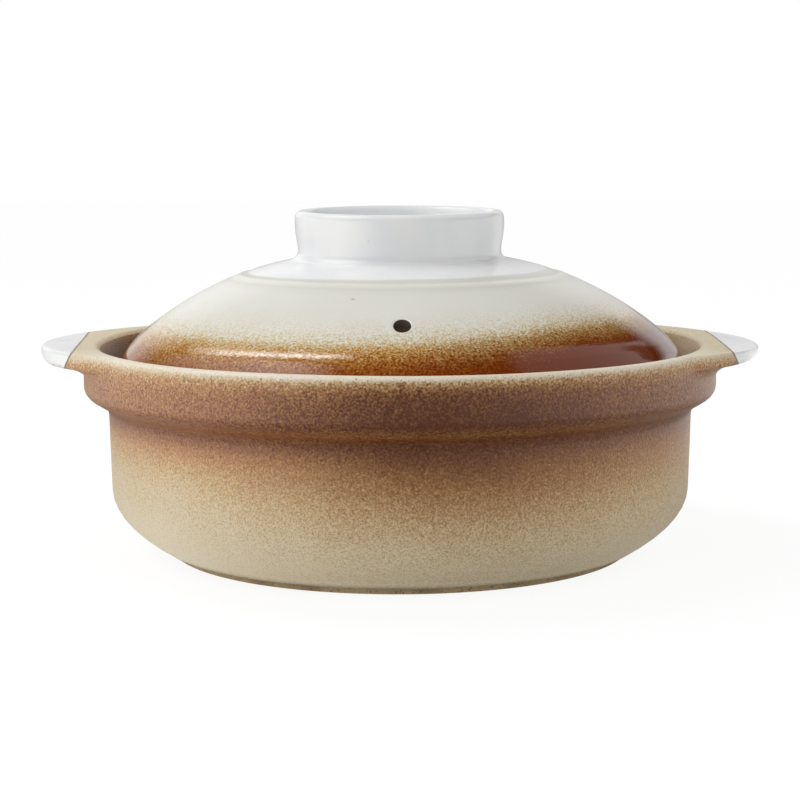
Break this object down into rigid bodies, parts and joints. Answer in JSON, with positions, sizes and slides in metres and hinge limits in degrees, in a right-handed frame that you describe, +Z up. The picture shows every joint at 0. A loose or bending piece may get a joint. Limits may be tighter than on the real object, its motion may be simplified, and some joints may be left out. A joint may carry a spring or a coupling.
{
  "type": "clay casserole pot",
  "caption": "Round clay casserole pot with crescent lug handles and a lift-off domed lid that has a steam hole and a hollow ring knob.",
  "frame": {"origin": "middle of the foot ring's underside, on the surface that the pot stands on", "axes": "+Z up along the axis of the pot and lid, +X through the right lug handle, -Y towards the steam hole and the viewer"},
  "size_m": [0.2956, 0.26, 0.1404],
  "materials": {
    "body_glaze": "satin sprayed glaze, rust brown at the rim band fading to tan and cream, with fine speckle",
    "handle_glaze": "satin tan sprayed glaze with glossy white dipped tips",
    "lid_glaze": "glossy grey cream glaze with a rust brown speckled edge",
    "knob_glaze": "glossy white dipped glaze"
  },
  "bodies": {
    "pot": {"pot_body": "body_glaze", "left_handle": "handle_glaze", "right_handle": "handle_glaze"},
    "lid": {"lid_dome": "lid_glaze", "lid_knob": "knob_glaze"}
  },
  "joints": [
    {"name": "lid_lift", "type": "slide", "parent": "pot", "child": "lid", "axis": [0, 0, 1], "range_m": [0, 0.12]}
  ]
}
